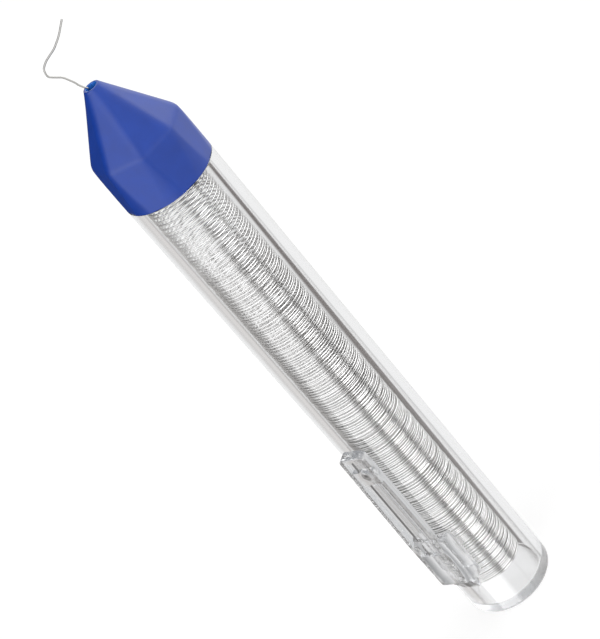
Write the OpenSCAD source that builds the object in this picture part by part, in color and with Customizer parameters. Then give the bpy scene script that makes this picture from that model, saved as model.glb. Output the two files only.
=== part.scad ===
// Pocket wire dispenser tube: a clear tube with a moulded pocket clip, a coil of fine wire
// inside it, and a faceted push-on cap with a nozzle that the wire is drawn out of.
// The tube stands on its closed base. +Z runs up the tube, and the clip is on the +X side.

/* [Tube] */
// Outer diameter of the clear tube
tube_d = 16.2; // [15:0.1:20]
// Wall of the tube
tube_wall = 1.6; // [1.4:0.05:2]
// Height of the shoulder that the cap's rim rests on
shoulder_z = 102.4; // [80:0.2:130]
// Thickness of the closed base
base_t = 1.5; // [1:0.1:3]
// Radius of the base's outer edge
foot_r = 0.8; // [0.3:0.1:1.2]
// Radius of the inside corner at the base
floor_r = 1.5; // [0.5:0.1:3]
// Height of the neck that the cap is pushed over
neck_h = 5; // [3:0.25:6]
// Wall of the neck
neck_wall = 0.7; // [0.5:0.05:0.8]

/* [Cap] */
// Clearance all round between the neck and the cap
cap_fit = 0.06; // [0.03:0.01:0.15]
// Room between the top of the neck and the step inside the cap
neck_room = 0.2; // [0.1:0.05:0.6]
// Number of flat sides
cap_sides = 8; // [6:1:10]
// Turn of the flat sides about the tube
cap_turn = -7; // [-22:1:22]
// How far the flats cut into the round rim
rim_flat = 0.12; // [0.05:0.01:0.25]
// Height of the skirt, from the rim to the edge where the cone starts
skirt_h = 8.6; // [7.5:0.1:11]
// Height of the cone
cone_h = 10.4; // [7:0.1:14]
// Wall of the cap above the neck, measured level
cap_wall = 1.2; // [0.8:0.1:1.6]
// Outer diameter of the nozzle's tip
tip_d = 2.7; // [2.4:0.1:4]
// Diameter of the hole in the nozzle
nozzle_d = 1.9; // [1.5:0.1:2]
// Length of the straight hole in the nozzle
nozzle_h = 2; // [1:0.1:3]

/* [Clip] */
// Width of the clip's arm
clip_w = 5.2; // [4:0.1:6]
// Thickness of the clip's arm
clip_t = 1.7; // [1.4:0.1:2.2]
// Gap between the arm and the tube
clip_gap = 0.7; // [0.5:0.05:1.5]
// Height of the arm's free end
clip_top = 47.2; // [42:0.2:60]
// Height of the line about which the arm bends
bend_z = 24; // [22:0.2:28]
// Radius of the free end's outer corner
clip_round = 0.9; // [0.3:0.1:1.2]
// Clearance round the bend, which lets the arm move
bend_fit = 0.05; // [0.03:0.01:0.1]
// Width of the rails at the arm's edges
rail_w = 0.7; // [0.5:0.05:0.9]
// Width of the rib along the arm's middle
rib_w = 0.5; // [0.3:0.05:0.8]
// Depth of the grooves between the rails and the rib
groove_depth = 0.9; // [0.4:0.05:1.1]
// Plain stretch at each end of the grooves
groove_margin = 1.6; // [1.2:0.1:3]
// Distance of the gripping nub from the free end
nub_drop = 6; // [4.5:0.1:9]
// Radius of the gripping nub
nub_r = 1.2; // [0.9:0.1:1.6]
// Gap between the nub and the tube
nub_gap = 0.2; // [0.1:0.05:0.4]
// Length of the solid bridge across the grooves at the nub
bridge_h = 3; // [2:0.1:4]

/* [Clip root] */
// Height at which the root leaves the tube
root_low = 8.2; // [6:0.1:10]
// Height of the root's outer lower edge
root_edge = 12.4; // [11:0.1:15]
// Height of the root's top, where the gap behind the arm ends
root_top = 22.4; // [19:0.1:23]
// Width of the root at its top
root_w = 7.6; // [6.2:0.1:9]
// Width of the root at its foot
root_foot_w = 4.2; // [3:0.1:6]
// Radius of the root's outer lower edge
root_round = 1; // [0.3:0.1:1.5]

/* [Wire] */
// Diameter of the wire
wire_d = 0.3; // [0.2:0.02:0.4]
// Turns in the coil
coil_turns = 84; // [20:1:88]
// Height of the coil's lowest turn
coil_low = 7.2; // [4:0.1:30]
// Distance from the shoulder down to the coil's highest turn
coil_drop = 1; // [0.5:0.1:20]
// Room between the coil and the bore, taken all round
coil_play = 0.65; // [0.3:0.05:1.5]
// Clearance left on the side that the coil lies against
coil_clear = 0.15; // [0.05:0.05:0.3]
// Height above the shoulder at which the wire leaves the coil and runs straight up
lead_h = 3.6; // [2:0.1:5]
// Distance of the straight wire from the tube's axis
wire_offset = 0.5; // [0:0.05:0.6]
// Direction in which the drawn wire bends away, about the tube
tail_turn = 137; // [0:1:359]

/* [Hidden] */
$fn = 64;

tube_r = tube_d / 2;
bore_r = tube_r - tube_wall;
neck_r = bore_r + neck_wall;
neck_top = shoulder_z + neck_h;

// The cap's rim is flush with the tube
cap_r = tube_r;
flat_half_angle = 180 / cap_sides;
flat_r = cap_r * cos(flat_half_angle);
skirt_bore_r = neck_r + cap_fit;
skirt_bore_h = neck_h + neck_room;
chamber_r = flat_r - cap_wall;
tip_r = tip_d / 2;
nozzle_r = nozzle_d / 2;
tip_z = shoulder_z + skirt_h + cone_h;
// Overlap that lets one cut run into the next
cut = 0.1;
// Thickness of the slices that the cone is stretched between
slice = 0.02;

clip_in = tube_r + clip_gap;
clip_out = clip_in + clip_t;
bend_x = clip_in + clip_t / 2;
bend_r = clip_t / 2;
nub_z = clip_top - nub_drop;
nub_x = tube_r + nub_gap + nub_r;
groove_w = (clip_w - 2 * rail_w - rib_w) / 2;
groove_low = bend_z + groove_margin;
groove_top = clip_top - groove_margin;

coil_r = bore_r - coil_play - wire_d / 2;
coil_x = coil_play - coil_clear;
coil_top = shoulder_z - coil_drop;
coil_pitch = (coil_top - coil_low) / coil_turns;
lead_top = shoulder_z + lead_h;
// Rings in one turn of the coil, and sides of the wire in the coil and in the drawn end
turn_rings = 8;
coil_sides = 6;
tail_sides = 8;
// Angle at which the coil's highest turn ends, on the side away from the clip
coil_end_angle = 180;
// How far the wire swings on round the coil, and up to the straight, before it turns
lead_swing = 4;
lead_rise = 2.5;
lead_rings = 12;

// The drawn wire's bends: distance out along tail_turn, and height above the nozzle's tip
tail_bends = [
    [-0.7, 1], [-1.1, 2], [-1.6, 3], [-2.4, 4], [-3.2, 4.9], [-3.7, 5.8], [-3.6, 6.8], [-2.8, 7.5],
    [-1.6, 7.9], [-0.4, 8.3], [0.6, 8.9], [1.6, 9.6], [2.4, 10.3], [3.1, 11]
];
tail_steps = 2;

function unit(v) = v / norm(v);

// Points of a cubic curve with its two ends and two handles
function curve_point(a, b, c, d, t) =
    a * pow(1 - t, 3) + b * 3 * t * pow(1 - t, 2) + c * 3 * t * t * (1 - t) + d * pow(t, 3);

// A smooth line through all the points, with steps points for each gap
function smooth_line(pts, steps) = [
    for (i = [0 : len(pts) - 2]) let (
        before = pts[max(i - 1, 0)],
        after = pts[min(i + 2, len(pts) - 1)],
        a = pts[i],
        d = pts[i + 1],
        b = a + (d - before) / 6,
        c = d - (after - a) / 6
    ) for (k = [0 : steps - 1]) curve_point(a, b, c, d, k / steps),
    pts[len(pts) - 1]
];

// Directions along a path, one for each point
function tangents(path) = let (last = len(path) - 1) [
    for (i = [0 : last]) unit(path[min(i + 1, last)] - path[max(i - 1, 0)])
];

// A side direction for each point that turns as little as it can along the path
function side_directions(tan, first) = [
    for (i = 0, side = unit(first - (first * tan[0]) * tan[0]);
        i < len(tan);
        i = i + 1,
        side = i < len(tan) ? unit(side - (side * tan[i]) * tan[i]) : side) side
];

// A closed round tube along a path
module wire_along(path, sides, first_side) {
    tan = tangents(path);
    side = side_directions(tan, first_side);
    rings = len(path);
    points = [
        for (i = [0 : rings - 1]) for (k = [0 : sides - 1]) let (
            turn = 360 * k / sides
        ) path[i] + wire_d / 2 * (cos(turn) * side[i] + sin(turn) * cross(tan[i], side[i]))
    ];
    walls = [
        for (i = [0 : rings - 2]) for (k = [0 : sides - 1]) let (
            next = (k + 1) % sides,
            a = i * sides + k,
            b = i * sides + next,
            c = (i + 1) * sides + next,
            d = (i + 1) * sides + k
        ) each [[a, c, b], [a, d, c]]
    ];
    start = [for (k = [1 : sides - 2]) [0, k, k + 1]];
    last = (rings - 1) * sides;
    end = [for (k = [1 : sides - 2]) [last, last + k + 1, last + k]];
    polyhedron(points, concat(walls, start, end));
}

// Place on the coil after a number of turns from its lowest point
function coil_point(turns) = let (angle = coil_end_angle + 360 * (turns - coil_turns)) [
    coil_x + coil_r * cos(angle),
    coil_r * sin(angle),
    coil_low + coil_pitch * turns
];

straight_xy = -wire_offset * [cos(tail_turn), sin(tail_turn)];
helix = [for (i = [0 : coil_turns * turn_rings]) coil_point(i / turn_rings)];
helix_end = helix[len(helix) - 1];
helix_way = [-sin(coil_end_angle), cos(coil_end_angle), 0];
straight_start = [straight_xy.x, straight_xy.y, lead_top - wire_d];
lead = [
    for (k = [1 : lead_rings]) curve_point(
        helix_end,
        helix_end + lead_swing * helix_way,
        straight_start - [0, 0, lead_rise],
        straight_start,
        k / lead_rings
    )
];
coil_path = concat(helix, lead, [[straight_xy.x, straight_xy.y, lead_top]]);

// Least clear gap between the wire and itself, more than half a turn further along
gaps = [
    for (i = [0 : len(coil_path) - 1])
        for (j = [i + turn_rings / 2 : min(i + 3 * turn_rings, len(coil_path) - 1)])
            norm(coil_path[i] - coil_path[j]) - wire_d
];
echo(least_gap_of_the_coil_to_itself = min(gaps));

tail_out = [cos(tail_turn), sin(tail_turn), 0];
tail_straight = [
    [straight_xy.x, straight_xy.y, lead_top],
    [straight_xy.x, straight_xy.y, (lead_top + tip_z) / 2],
    [straight_xy.x, straight_xy.y, tip_z]
];
tail_free = [for (bend = tail_bends) bend[0] * tail_out + [0, 0, tip_z + bend[1]]];
tail_curve = smooth_line(concat([tail_straight[2]], tail_free), tail_steps);
tail_path = concat([tail_straight[0], tail_straight[1]], tail_curve);

// Half of the tube's outer outline, with a round foot and a neck above the shoulder
module tube_outline() {
    translate([0, foot_r]) square([tube_r, shoulder_z - foot_r]);
    square([tube_r - foot_r, foot_r]);
    translate([tube_r - foot_r, foot_r]) circle(foot_r);
    translate([0, shoulder_z - cut]) square([neck_r, neck_h + cut]);
}

// Half of the bore's outline, with a round corner at the floor
module bore_outline() {
    translate([0, base_t + floor_r]) square([bore_r, neck_top + cut - base_t - floor_r]);
    translate([0, base_t]) square([bore_r - floor_r, floor_r + cut]);
    translate([bore_r - floor_r, base_t + floor_r]) intersection() {
        circle(floor_r);
        translate([0, -floor_r]) square(2 * floor_r);
    }
}

// The clip's root seen from its side, out from the tube's axis and up
module root_side() {
    difference() {
        union() {
            polygon([
                [0, root_low],
                [tube_r, root_low],
                [clip_out - root_round, root_edge - root_round],
                [clip_out - root_round, root_top],
                [0, root_top]
            ]);
            translate([clip_out - root_round, root_edge]) circle(root_round);
            translate([clip_out - root_round - cut, root_edge]) square([root_round + cut, bend_z - root_edge]);
            translate([clip_in, root_edge]) square([clip_t, bend_z - root_edge]);
        }
        translate([bend_x, bend_z]) circle(bend_r + bend_fit);
    }
}

// The clip's root seen from outside: as wide as the arm at the bend, wider at its top, and narrow at its foot
module root_front() {
    polygon([
        [-root_foot_w / 2, root_low],
        [root_foot_w / 2, root_low],
        [root_w / 2, root_top - groove_margin],
        [root_w / 2, root_top],
        [clip_w / 2, bend_z],
        [-clip_w / 2, bend_z],
        [-root_w / 2, root_top],
        [-root_w / 2, root_top - groove_margin]
    ]);
}

module clip_root() {
    intersection() {
        rotate([90, 0, 0]) linear_extrude(root_w, center = true) root_side();
        rotate([90, 0, 90]) linear_extrude(clip_out) root_front();
    }
}

// Tube and clip root, moulded as one piece
module tube() {
    color([0.9, 0.93, 0.95, 0.35]) difference() {
        union() {
            rotate_extrude() tube_outline();
            clip_root();
        }
        rotate_extrude() bore_outline();
    }
}

// The arm seen from its side, with a round end at the bend and a nub that grips
module arm_side() {
    translate([bend_x, bend_z]) circle(bend_r);
    translate([clip_in, bend_z]) square([clip_t, clip_top - clip_round - bend_z]);
    translate([clip_in, bend_z]) square([clip_t - clip_round, clip_top - bend_z]);
    translate([clip_out - clip_round, clip_top - clip_round]) circle(clip_round);
    intersection() {
        translate([nub_x, nub_z]) circle(nub_r);
        translate([tube_r, nub_z - nub_r]) square([clip_gap + clip_t, 2 * nub_r]);
    }
}

// One groove in the arm's outer face, from low to high
module groove(y, low, high) {
    translate([clip_out - groove_depth, y, low]) cube([groove_depth + cut, groove_w, high - low]);
}

module clip_arm() {
    color([0.9, 0.93, 0.95, 0.35]) difference() {
        rotate([90, 0, 0]) linear_extrude(clip_w, center = true) arm_side();
        for (y = [-rib_w / 2 - groove_w, rib_w / 2]) {
            groove(y, groove_low, nub_z - bridge_h / 2);
            groove(y, nub_z + bridge_h / 2, groove_top);
        }
    }
}

// Round skirt with flats that grow from the rim up, and a faceted cone that ends in a round tip
module cap_outside() {
    intersection() {
        cylinder(h = skirt_h, r = cap_r);
        rotate(cap_turn) cylinder(
            h = skirt_h,
            r1 = (cap_r - rim_flat) / cos(flat_half_angle),
            r2 = cap_r,
            $fn = cap_sides
        );
    }
    translate([0, 0, skirt_h]) hull() {
        rotate(cap_turn) translate([0, 0, -slice]) cylinder(h = slice, r = cap_r, $fn = cap_sides);
        translate([0, 0, cone_h - slice]) cylinder(h = slice, r = tip_r, $fn = 32);
    }
}

module cap_inside() {
    translate([0, 0, -cut]) cylinder(h = skirt_bore_h + cut, r = skirt_bore_r);
    translate([0, 0, skirt_bore_h - cut]) cylinder(h = skirt_h - skirt_bore_h + cut, r = chamber_r);
    translate([0, 0, skirt_h - slice]) cylinder(h = cone_h - nozzle_h + slice, r1 = chamber_r, r2 = nozzle_r);
    translate([0, 0, skirt_h + cone_h - nozzle_h - cut]) cylinder(h = nozzle_h + 2 * cut, r = nozzle_r);
}

module cap() {
    color([0.19, 0.30, 0.65]) translate([0, 0, shoulder_z]) difference() {
        cap_outside();
        cap_inside();
    }
}

// The wound wire, up to where it runs straight into the cap
module wire_coil() {
    color([0.75, 0.75, 0.77]) wire_along(coil_path, coil_sides, helix[0] - [coil_x, 0, helix[0].z]);
}

// The straight wire through the nozzle, and the drawn end that is bent outside it
module wire_tail() {
    color([0.75, 0.75, 0.77]) wire_along(tail_path, tail_sides, tail_out);
}

tube();
clip_arm();
cap();
wire_coil();
wire_tail();
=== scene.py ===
# %% [markdown]
# # A pocket dispenser for fine wire
# The object is a clear plastic tube that stands on a closed base. A coil of bright wire fills it, a
# faceted blue cap closes it, and the wire's free end comes out of the cap's nozzle. A clear clip is
# moulded on the tube's side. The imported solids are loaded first, because every piece made below has
# to sit where they are, in the same frame and in metres. The sizes of pieces are written in millimetres,
# as on a drawing, and multiplied by MM where a mesh is made. Patterns, floor and lamps are in metres.

# %% Load the frame
import math

import bmesh
import bpy
import numpy as np
from mathutils import Matrix, Vector


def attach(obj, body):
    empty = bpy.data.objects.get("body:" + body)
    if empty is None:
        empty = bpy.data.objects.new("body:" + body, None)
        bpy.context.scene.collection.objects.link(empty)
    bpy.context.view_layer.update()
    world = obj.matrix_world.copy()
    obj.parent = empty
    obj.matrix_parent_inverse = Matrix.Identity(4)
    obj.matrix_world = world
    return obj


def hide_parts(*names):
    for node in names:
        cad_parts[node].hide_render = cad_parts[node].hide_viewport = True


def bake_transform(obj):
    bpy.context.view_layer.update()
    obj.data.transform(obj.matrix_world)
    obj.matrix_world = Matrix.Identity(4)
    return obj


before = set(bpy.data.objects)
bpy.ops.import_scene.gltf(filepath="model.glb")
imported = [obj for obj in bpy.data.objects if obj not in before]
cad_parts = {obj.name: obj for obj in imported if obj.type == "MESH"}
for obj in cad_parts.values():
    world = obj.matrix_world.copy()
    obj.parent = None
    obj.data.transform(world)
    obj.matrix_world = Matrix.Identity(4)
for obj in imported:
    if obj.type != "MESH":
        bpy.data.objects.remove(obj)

MM = 0.001
scene = bpy.context.scene
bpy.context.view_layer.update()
print("solids:", sorted(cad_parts))

# %% [markdown]
# ## The camera
# The photo looks down on the tube at about 31 degrees and is turned so that the tube lies across the
# picture from corner to corner. A camera can be placed by eye, but here its place was worked out from
# the ellipses of the rim, the tip and the base, so it is written as numbers: where it stands, the point
# it looks at, and how far the tube's own direction leans from the picture's upright. Light crosses the
# clear walls many times on its way to the camera, so it is allowed many bounces.

# %% Where the camera stands and looks
CAMERA_TURN = math.radians(47)
CAMERA_OUT = 269.1 * MM
CAMERA_UP = 228.5 * MM
AIM_UP = 67.8 * MM
AIM_RIGHT = 1.18 * MM
AIM_ALONG = 0.43 * MM
LEAN = math.radians(40.43)

out_to_camera = Vector((math.cos(CAMERA_TURN), math.sin(CAMERA_TURN), 0))
camera_place = CAMERA_OUT * out_to_camera + Vector((0, 0, CAMERA_UP))
aim_on_axis = Vector((0, 0, AIM_UP))
level_right = Vector((-math.sin(CAMERA_TURN), math.cos(CAMERA_TURN), 0))
look = (aim_on_axis - camera_place).normalized()
look_up = level_right.cross(look)
aim = aim_on_axis + AIM_RIGHT * level_right + AIM_ALONG * look_up
look = (aim - camera_place).normalized()
level_right = look.cross(Vector((0, 0, 1))).normalized()
look_up = level_right.cross(look)
picture_right = math.cos(LEAN) * level_right - math.sin(LEAN) * look_up
picture_up = math.sin(LEAN) * level_right + math.cos(LEAN) * look_up
print("the camera looks down by", round(math.degrees(math.asin(-look.z)), 1), "degrees")

# %% Camera
IMAGE_HEIGHT = 639
FOCAL_PIXELS = 1963
SENSOR = 36
NEAREST = 0.01
MOST_BOUNCES = 48
CLEAR_BOUNCES = 40

camera_data = bpy.data.cameras.new("camera")
camera_data.sensor_fit = "VERTICAL"
camera_data.sensor_height = SENSOR
camera_data.lens = SENSOR * FOCAL_PIXELS / IMAGE_HEIGHT
camera_data.clip_start = NEAREST
camera = bpy.data.objects.new("camera", camera_data)
camera_axes = Matrix((picture_right, picture_up, -look)).transposed()
camera.matrix_world = Matrix.Translation(camera_place) @ camera_axes.to_4x4()
scene.collection.objects.link(camera)
scene.camera = camera
scene.view_settings.view_transform = "Standard"
scene.cycles.max_bounces = MOST_BOUNCES
scene.cycles.glossy_bounces = CLEAR_BOUNCES
scene.cycles.transmission_bounces = CLEAR_BOUNCES
print("camera at", [round(x, 4) for x in camera_place], "lens", round(camera_data.lens, 1))

# %% [markdown]
# ## Looks from nodes
# Every look below is a small network of nodes in which patterns feed a shader. It could be drawn by hand
# in the editor, but a script can be read and run again. Written node by node, a network soon grows long.
# So these helpers add a node, set or link its inputs and give back its outlet, and a network reads like
# sums on a page. The wire's Geometry Nodes and the studio's light use them too.

# %% Node helpers


def node_of(tree, kind, inputs, out=0, **settings):
    """Adds a node, sets its properties, links or sets its inputs, and gives back one outlet."""
    node = tree.nodes.new(kind)
    for label, value in settings.items():
        setattr(node, label, value)
    for label, value in inputs.items():
        if isinstance(value, bpy.types.NodeSocket):
            tree.links.new(value, node.inputs[label])
        else:
            node.inputs[label].default_value = value
    return node.outputs[out]


def calc(tree, operation, *values):
    """One step of arithmetic."""
    return node_of(tree, "ShaderNodeMath", dict(enumerate(values)), operation=operation)


def pick(tree, share, a, b):
    """One colour or the other, or a mix of the two by the share."""
    return node_of(tree, "ShaderNodeMix", {0: share, 6: a, 7: b}, out=2, data_type="RGBA")


def ramp_of(tree, value, stops):
    """A colour ramp; its stops are pairs of place and colour, in rising order."""
    ramp = tree.nodes.new("ShaderNodeValToRGB")
    tree.links.new(value, ramp.inputs["Fac"])
    elements = ramp.color_ramp.elements
    while len(elements) < len(stops):
        elements.new(0.5)
    for element, (place, colour) in zip(elements, stops):
        element.position = place
        element.color = colour
    return ramp.outputs["Color"]


# %% Material helpers


def new_material(name):
    """A material with its tree, its Principled node and its Object coordinates."""
    material = bpy.data.materials.new(name)
    material.use_nodes = True
    tree = material.node_tree
    place = node_of(tree, "ShaderNodeTexCoord", {}, out="Object")
    return material, tree, tree.nodes["Principled BSDF"], place


def noise_of(tree, place, scale, detail):
    """A noise pattern, with a scale that counts its lumps in each metre."""
    inputs = {"Vector": place, "Scale": scale, "Detail": detail}
    return node_of(tree, "ShaderNodeTexNoise", inputs, out="Fac")


def spread(tree, value, low, high):
    """Maps a 0 to 1 pattern to the range from low to high."""
    inputs = {"Value": value, "To Min": low, "To Max": high}
    return node_of(tree, "ShaderNodeMapRange", inputs, out="Result")


# %% [markdown]
# ## Clear plastic
# The tube and clip are moulded from a clear, hard plastic. Glass alone would look too perfect, so the
# polish drifts a little over the surface, and the plastic takes a little light away inside, which greys
# the places where it is seen edge on. The underside of the base is matt from standing on tables. The
# clip is of the same plastic with a softer skin, because it looks misty beside the tube in the photo.

# %% Clear plastic
CLEAR_TINT = (0.988, 0.989, 0.99, 1)
CLEAR_IOR = 1.49
CLEAR_DEPTHS = (0.946, 0.949, 0.954, 1)
CLEAR_DENSITY = 200
SMEAR_SCALE = 160
SMEAR_DETAIL = 3
UNDERSIDE = 0.0001
MATT = 0.2
TUBE_POLISH = (0.0, 0.003)
CLIP_POLISH = (0.03, 0.09)


def clear_finish(name, polish):
    """Clear plastic whose roughness drifts between two values, matt on the underside of the base."""
    material, tree, shader, place = new_material(name)
    shader.inputs["Base Color"].default_value = CLEAR_TINT
    shader.inputs["Transmission Weight"].default_value = 1
    shader.inputs["IOR"].default_value = CLEAR_IOR
    smear = noise_of(tree, place, SMEAR_SCALE, SMEAR_DETAIL)
    skin = {
        "Value": node_of(tree, "ShaderNodeSeparateXYZ", {"Vector": place}, out="Z"),
        "From Min": UNDERSIDE,
        "From Max": 2 * UNDERSIDE,
        "To Min": MATT,
        "To Max": spread(tree, smear, *polish),
    }
    roughness = node_of(tree, "ShaderNodeMapRange", skin, out="Result")
    tree.links.new(roughness, shader.inputs["Roughness"])
    inputs = {"Color": CLEAR_DEPTHS, "Density": CLEAR_DENSITY}
    absorbed = node_of(tree, "ShaderNodeVolumeAbsorption", inputs)
    tree.links.new(absorbed, tree.nodes["Material Output"].inputs["Volume"])
    print("finish:", name)
    return material


clear_plastic = clear_finish("clear_plastic", TUBE_POLISH)
clip_plastic = clear_finish("clip_plastic", CLIP_POLISH)

# %% [markdown]
# ## Blue plastic
# The cap is moulded in an opaque blue with a satin skin. Its light facets are not a paler blue: they
# mirror a bright part of the room. So the colour stays deep and the roughness carries the look, with
# faint mottling, as in coloured granulate, and a fine grain that the mould's steel leaves. The tint is
# painted lighter close round the hole: a painted glow for the light that comes through the thin lip of
# the nozzle.

# %% Blue plastic
MOTTLE_SCALE = 420
MOTTLE_DETAIL = 4
BLUE_TONES = ((0.3, (0.0029, 0.0365, 0.276, 1)), (0.7, (0.0037, 0.0425, 0.316, 1)))
# Painted glow: a lighter blue close round the nozzle's hole stands for light through the thin lip.
PAINTED_GLOW_BLUE = (0.02, 0.16, 0.6, 1)
GLOW_FULL_TO = 0.00097
GLOW_ENDS_AT = 0.00112
SATIN = (0.3, 0.4)
GRAIN_SCALE = 5200
GRAIN_DETAIL = 2
GRAIN_HEIGHT = 0.000004

blue_plastic, blue_tree, blue, place = new_material("blue_plastic")
mottle = noise_of(blue_tree, place, MOTTLE_SCALE, MOTTLE_DETAIL)
tint = ramp_of(blue_tree, mottle, BLUE_TONES)
flat_place = node_of(blue_tree, "ShaderNodeVectorMath", {0: place, 1: (1, 1, 0)}, operation="MULTIPLY")
from_axis = node_of(blue_tree, "ShaderNodeVectorMath", {0: flat_place}, out="Value", operation="LENGTH")
# Painted glow: the blue is lighter close to the axis and fades out just outside the hole's edge.
lip_inputs = {"Value": from_axis, "From Min": GLOW_FULL_TO, "From Max": GLOW_ENDS_AT, "To Min": 1, "To Max": 0}
painted_glow = node_of(blue_tree, "ShaderNodeMapRange", lip_inputs, out="Result")
blue_tree.links.new(pick(blue_tree, painted_glow, tint, PAINTED_GLOW_BLUE), blue.inputs["Base Color"])
blue_tree.links.new(spread(blue_tree, mottle, *SATIN), blue.inputs["Roughness"])
grain = noise_of(blue_tree, place, GRAIN_SCALE, GRAIN_DETAIL)
bump_inputs = {"Strength": 1, "Distance": GRAIN_HEIGHT, "Height": grain}
blue_tree.links.new(node_of(blue_tree, "ShaderNodeBump", bump_inputs), blue.inputs["Normal"])
print("finish:", blue_plastic.name)

# %% [markdown]
# ## Bright wire
# Drawn steel wire is a mirror with fine draw marks along it. Each turn of a coil catches the light a
# little differently, because no two turns lie quite the same way, so the tone is painted lighter or
# darker for that light, and follows the number of the turn. That number comes with the mesh as an
# attribute, which the winding further down stores. A second attribute marks an inner layer of turns,
# which is duller and more even. The free end has the same network with darker greys, painted shade,
# so that it mirrors the room more dimly than the coil.

# %% Bright wire
TURN_NOISE_SCALE = 0.9
TURN_NOISE_DETAIL = 3
DARK_TURNS = 0.25
LIGHT_TURNS = 0.7
MARK_SCALE = 2500
MARK_DETAIL = 2
DRAWN_POLISH = (0.12, 0.26)
INNER_GREY = (0.78, 0.77, 0.76, 1)
INNER_ROUGHNESS = 0.38
BRIGHT_GREYS = ((0.60, 0.595, 0.59, 1), (0.86, 0.855, 0.85, 1))
# The free end's darker greys are painted shade, so that it mirrors the room more dimly than the coil.
PAINTED_SHADE_GREYS = ((0.34, 0.335, 0.32, 1), (0.46, 0.455, 0.445, 1))


def wire_finish(name, dark, light):
    """Drawn wire whose tone, a painted difference in light, changes from turn to turn between two greys.
    """
    material, tree, shader, place = new_material(name)
    shader.inputs["Metallic"].default_value = 1
    turn_number = node_of(tree, "ShaderNodeAttribute", {}, out="Fac", attribute_name="turn")
    inputs = {"W": turn_number, "Scale": TURN_NOISE_SCALE, "Detail": TURN_NOISE_DETAIL}
    turn_noise = node_of(tree, "ShaderNodeTexNoise", inputs, out="Fac", noise_dimensions="1D")
    # Painted light: the tone goes lighter or darker from turn to turn, for the light each turn catches.
    tone = ramp_of(tree, turn_noise, ((DARK_TURNS, dark), (LIGHT_TURNS, light)))
    depth = node_of(tree, "ShaderNodeAttribute", {}, out="Fac", attribute_name="depth")
    tree.links.new(pick(tree, depth, tone, INNER_GREY), shader.inputs["Base Color"])
    draw_marks = noise_of(tree, place, MARK_SCALE, MARK_DETAIL)
    marked = spread(tree, draw_marks, *DRAWN_POLISH)
    roughness = node_of(tree, "ShaderNodeMix", {0: depth, 2: marked, 3: INNER_ROUGHNESS})
    tree.links.new(roughness, shader.inputs["Roughness"])
    print("finish:", name)
    return material


bright_wire = wire_finish("bright_wire", *BRIGHT_GREYS)
painted_shade_wire = wire_finish("painted_shade_wire", *PAINTED_SHADE_GREYS)

# %% [markdown]
# ## The tube
# A clear tube is all about its walls: light bends at the outside and again at the bore, so both have to
# be there, with the true thickness. A cylinder with a Solidify modifier would do for the straight part,
# but not for the round foot, the floor and the neck. Here one outline is turned round the axis, from
# the middle of the base, up the outside, over the neck and down the bore, so the skin is closed.

# %% Arcs and rings of points
JOIN_DIGITS = 5


def arc(centre, radius, start, end, steps):
    """Points on an arc in the outline's plane, from one angle in degrees to another."""
    return [
        (centre[0] + radius * math.cos(a), centre[1] + radius * math.sin(a))
        for a in np.radians(np.linspace(start, end, steps))
    ]


def skin_rings(name, rings, looped=False):
    """A mesh over rings of points in millimetres; a ring of one point closes an end."""
    points = np.concatenate(rings)
    rounded = np.round(points, JOIN_DIGITS)
    _, first, index = np.unique(rounded, axis=0, return_index=True, return_inverse=True)
    index = index.ravel()
    starts = np.cumsum([0] + [len(r) for r in rings])
    pairs = list(zip(range(len(rings) - 1), range(1, len(rings))))
    if looped:
        pairs.append((len(rings) - 1, 0))
    faces = []
    for low, high in pairs:
        count = max(len(rings[low]), len(rings[high]))
        for k in range(count):
            corners = []
            for ring, step in ((low, k), (low, k + 1), (high, k + 1), (high, k)):
                corner = index[starts[ring] + step % len(rings[ring])]
                if corner not in corners:
                    corners.append(corner)
            if len(corners) > 2:
                faces.append([int(c) for c in corners])
    mesh = bpy.data.meshes.new(name)
    mesh.from_pydata([tuple(p * MM) for p in points[first]], [], faces)
    return mesh


# %% Finishing a mesh


def finish_mesh(mesh, material, sharp_degrees):
    """Turns faces outwards, shades them smooth up to an angle, and sets the material."""
    edit = bmesh.new()
    edit.from_mesh(mesh)
    bmesh.ops.recalc_face_normals(edit, faces=edit.faces)
    edit.to_mesh(mesh)
    edit.free()
    mesh.shade_smooth()
    mesh.set_sharp_from_angle(angle=math.radians(sharp_degrees))
    mesh.materials.clear()
    mesh.materials.append(material)
    print(mesh.name, "has", len(mesh.polygons), "faces")


def add_object(name, mesh):
    """Puts a mesh in the scene, at the origin."""
    made = bpy.data.objects.new(name, mesh)
    scene.collection.objects.link(made)
    return made


# %% The tube's outline
TUBE_R = 8.1
BORE_R = 6.5
SHOULDER_Z = 102.4
NECK_R = 7.2
NECK_TOP = 107.4
BASE_T = 1.5
FOOT_R = 0.8
FLOOR_R = 0.5
EDGE_R = 0.04
STAY = 0.08
FOOT_STEPS = 16
FLOOR_STEPS = 20
EDGE_STEPS = 4
BASE_RINGS = (0, 3, 6)
FLOOR_RINGS = (2.5, 0)
WALL_RINGS = np.linspace(4, 100, 25)
BORE_RINGS = np.linspace(100, 6, 24)

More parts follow.
